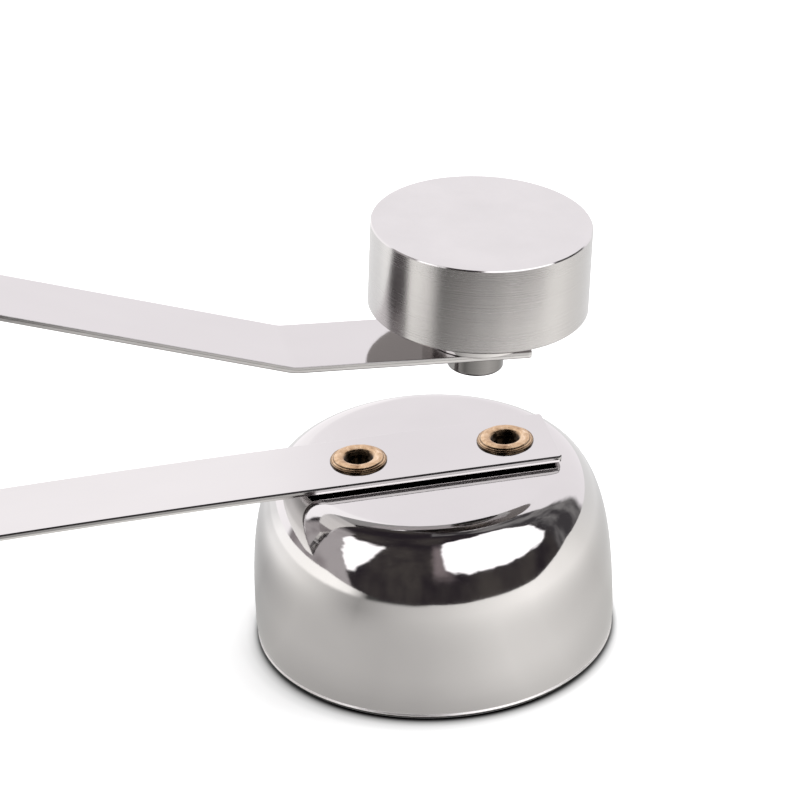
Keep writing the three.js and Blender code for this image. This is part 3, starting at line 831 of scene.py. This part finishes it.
def world():
    w = bpy.data.worlds.new("studio")
    scene.world = w
    w.use_nodes = True
    w.cycles.sampling_method = "NONE"
    t = w.node_tree
    t.nodes.clear()
    N = t.nodes.new
    L = t.links.new
    out = N("ShaderNodeOutputWorld")
    co = N("ShaderNodeTexCoord")
    sep = N("ShaderNodeSeparateXYZ")
    rotn = N("ShaderNodeMapping")
    rotn.vector_type = "VECTOR"
    rotn.inputs["Rotation"].default_value = (0, 0, -CAM_AZ)   # +X of the turned frame points at the camera
    L(co.outputs["Generated"], rotn.inputs["Vector"])
    L(rotn.outputs["Vector"], sep.inputs[0])

    def mt(op, a, b=None, c=None, clamp=False):
        m = N("ShaderNodeMath")
        m.operation, m.use_clamp = op, clamp
        for i, v in enumerate((a, b, c)):
            if v is None:
                continue
            if isinstance(v, (int, float)):
                m.inputs[i].default_value = v
            else:
                L(v, m.inputs[i])
        return m.outputs[0]

    def step(v, a, b):
        """0 below a, 1 above b."""
        m = N("ShaderNodeMapRange")
        m.interpolation_type = "SMOOTHSTEP"
        m.inputs["From Min"].default_value, m.inputs["From Max"].default_value = a, b
        L(v, m.inputs["Value"])
        return m.outputs["Result"]

    def inv(v):
        return mt("SUBTRACT", 1.0, v)

    def both(*v):
        r = v[0]
        for x in v[1:]:
            r = mt("MULTIPLY", r, x)
        return r

    def mix(fac, a, b):
        m = N("ShaderNodeMix")
        m.data_type = "RGBA"
        L(fac, m.inputs[0])
        for i, v in ((6, a), (7, b)):
            if isinstance(v, tuple):
                m.inputs[i].default_value = (*v, 1)
            else:
                L(v, m.inputs[i])
        return m.outputs[2]

    def noise(scale, detail, stretch=(1, 1, 1)):
        mp = N("ShaderNodeMapping")
        mp.inputs["Scale"].default_value = stretch
        L(rotn.outputs["Vector"], mp.inputs["Vector"])
        n = N("ShaderNodeTexNoise")
        n.inputs["Scale"].default_value = scale
        n.inputs["Detail"].default_value = detail
        L(mp.outputs[0], n.inputs["Vector"])
        return n.outputs["Fac"]

    wob = mt("MULTIPLY_ADD", noise(5.0, 4), 9.0, -4.5)
    wob2 = mt("MULTIPLY_ADD", noise(7.0, 4, (1, 1, 1.7)), 9.0, -4.5)
    az0 = mt("MULTIPLY", mt("ARCTAN2", sep.outputs[1], sep.outputs[0]), 180 / math.pi)
    el0 = mt("MULTIPLY", mt("ARCSINE", sep.outputs[2]), 180 / math.pi)
    az, el = mt("ADD", az0, wob), mt("ADD", el0, wob2)

    # dark studio on the camera's side
    streak = noise(2.6, 5, (1, 1, 0.5))
    dark = mix(step(streak, 0.35, 0.7), (0.030, 0.024, 0.030), (0.085, 0.075, 0.070))
    env = dark
    # grey things to the right of the large soft box
    rg = mix(step(noise(4.5, 4, (1, 1, 0.25)), 0.40, 0.62), (0.07, 0.065, 0.07), (0.30, 0.29, 0.29))
    env = mix(step(az, 84, 92), env, rg)
    # grey card on the left
    card = mix(step(noise(3.0, 3, (1, 1, 0.6)), 0.35, 0.65), (0.36, 0.325, 0.335), (0.56, 0.525, 0.53))
    left_line = mt("MULTIPLY_ADD", el, -0.49, -54.5)
    env = mix(both(inv(step(mt("SUBTRACT", az, left_line), -1.5, 1.5)), step(az, -109, -103), step(el, -12, -8), inv(step(el, 48, 60))), env, card)
    # white backdrop behind: its top edge is a straight horizontal line
    lean = mt("MULTIPLY", mt("MULTIPLY_ADD", sep.outputs[0], 2.1, sep.outputs[2]), 1 / 2.326)
    behind = inv(step(lean, -0.02, 0.01))
    side = mt("MAXIMUM", step(az, 117, 124), inv(step(az0, -110, -104)))
    env = mix(both(behind, side), env, mix(step(sep.outputs[1], -0.048, -0.012), BACK_LEFT, BACK))
    # small left soft box
    rl = mt("MULTIPLY_ADD", mt("MINIMUM", mt("SUBTRACT", el, 28.0), 0.0), 0.56, -41.0)
    lbox = both(step(mt("SUBTRACT", az, left_line), -1.0, 2.0), inv(step(mt("SUBTRACT", az, rl), -2.0, 1.0)), step(el, 4, 7), inv(step(el, 47, 52)))
    env = mix(lbox, env, (1.9, 1.86, 1.88))
    # large right soft box, rounded, with a dimmer pinkish left end
    u = mt("DIVIDE", mt("SUBTRACT", az, 47.0), 38.5)
    v = mt("DIVIDE", mt("SUBTRACT", el, 39.5), 28.5)
    q = mt("ADD", mt("POWER", mt("ABSOLUTE", u), 5.0), mt("POWER", mt("ABSOLUTE", v), 5.0))
    rim = both(step(az, -2, 4), inv(step(az, 8, 16)), step(el, 2, 20), inv(step(el, 45, 68)))
    env = mix(mt("MULTIPLY", rim, 0.85), env, (0.34, 0.285, 0.295))
    env = mix(inv(step(q, 0.85, 1.15)), env, (1.9, 1.87, 1.90))
    lpn = N("ShaderNodeLightPath")
    bg_env, bg_dif, bg_cam = N("ShaderNodeBackground"), N("ShaderNodeBackground"), N("ShaderNodeBackground")
    L(env, bg_env.inputs["Color"])
    L(mix(step(sep.outputs[0], -0.9, 0.9), (2.1, 2.1, 2.1), (1.15, 1.15, 1.15)), bg_dif.inputs["Color"])   # brighter behind
    bg_cam.inputs["Color"].default_value = (1.0, 1.0, 1.0, 1)
    m1, m2 = N("ShaderNodeMixShader"), N("ShaderNodeMixShader")
    L(lpn.outputs["Is Glossy Ray"], m1.inputs[0])
    L(bg_dif.outputs[0], m1.inputs[1])
    L(bg_env.outputs[0], m1.inputs[2])
    L(lpn.outputs["Is Camera Ray"], m2.inputs[0])
    L(m1.outputs[0], m2.inputs[1])
    L(bg_cam.outputs[0], m2.inputs[2])
    L(m2.outputs[0], out.inputs["Surface"])


BACK = (1.24, 1.20, 1.235)
BACK_LEFT = (1.42, 1.385, 1.41)
world()


def softbox(name, az, el, width_deg, height_deg, radiance, dist=0.9, tint=(1, 1, 1)):
    """Rectangular soft box seen from the cup at that azimuth (from the camera's side) and elevation."""
    a, e = CAM_AZ + rad(az), rad(el)
    centre = Vector((AX * MM, 0, 0.016))
    dirv = Vector((math.cos(a) * math.cos(e), math.sin(a) * math.cos(e), math.sin(e)))
    li = bpy.data.lights.new(name, "AREA")
    li.shape = "RECTANGLE"
    li.size = 2 * dist * math.tan(rad(width_deg / 2))
    li.size_y = 2 * dist * math.tan(rad(height_deg / 2))
    li.color = tint
    # an area light of radiance L emits pi * L * area watts
    li.energy = math.pi * radiance * li.size * li.size_y
    ob = bpy.data.objects.new(name, li)
    scene.collection.objects.link(ob)
    ob.location = centre + dirv * dist
    ob.rotation_mode = "QUATERNION"
    ob.rotation_quaternion = dirv.to_track_quat("Z", "Y")
    ob.visible_camera = False
    ob.visible_glossy = False                 # the metal sees the soft boxes in the world instead
    return ob


softbox("softbox_right", 112, 55, 60, 46, 0.9)
softbox("softbox_left", -49, 40, 25, 40, 0.6)

scene.view_settings.view_transform = "Standard"
scene.view_settings.look = "None"
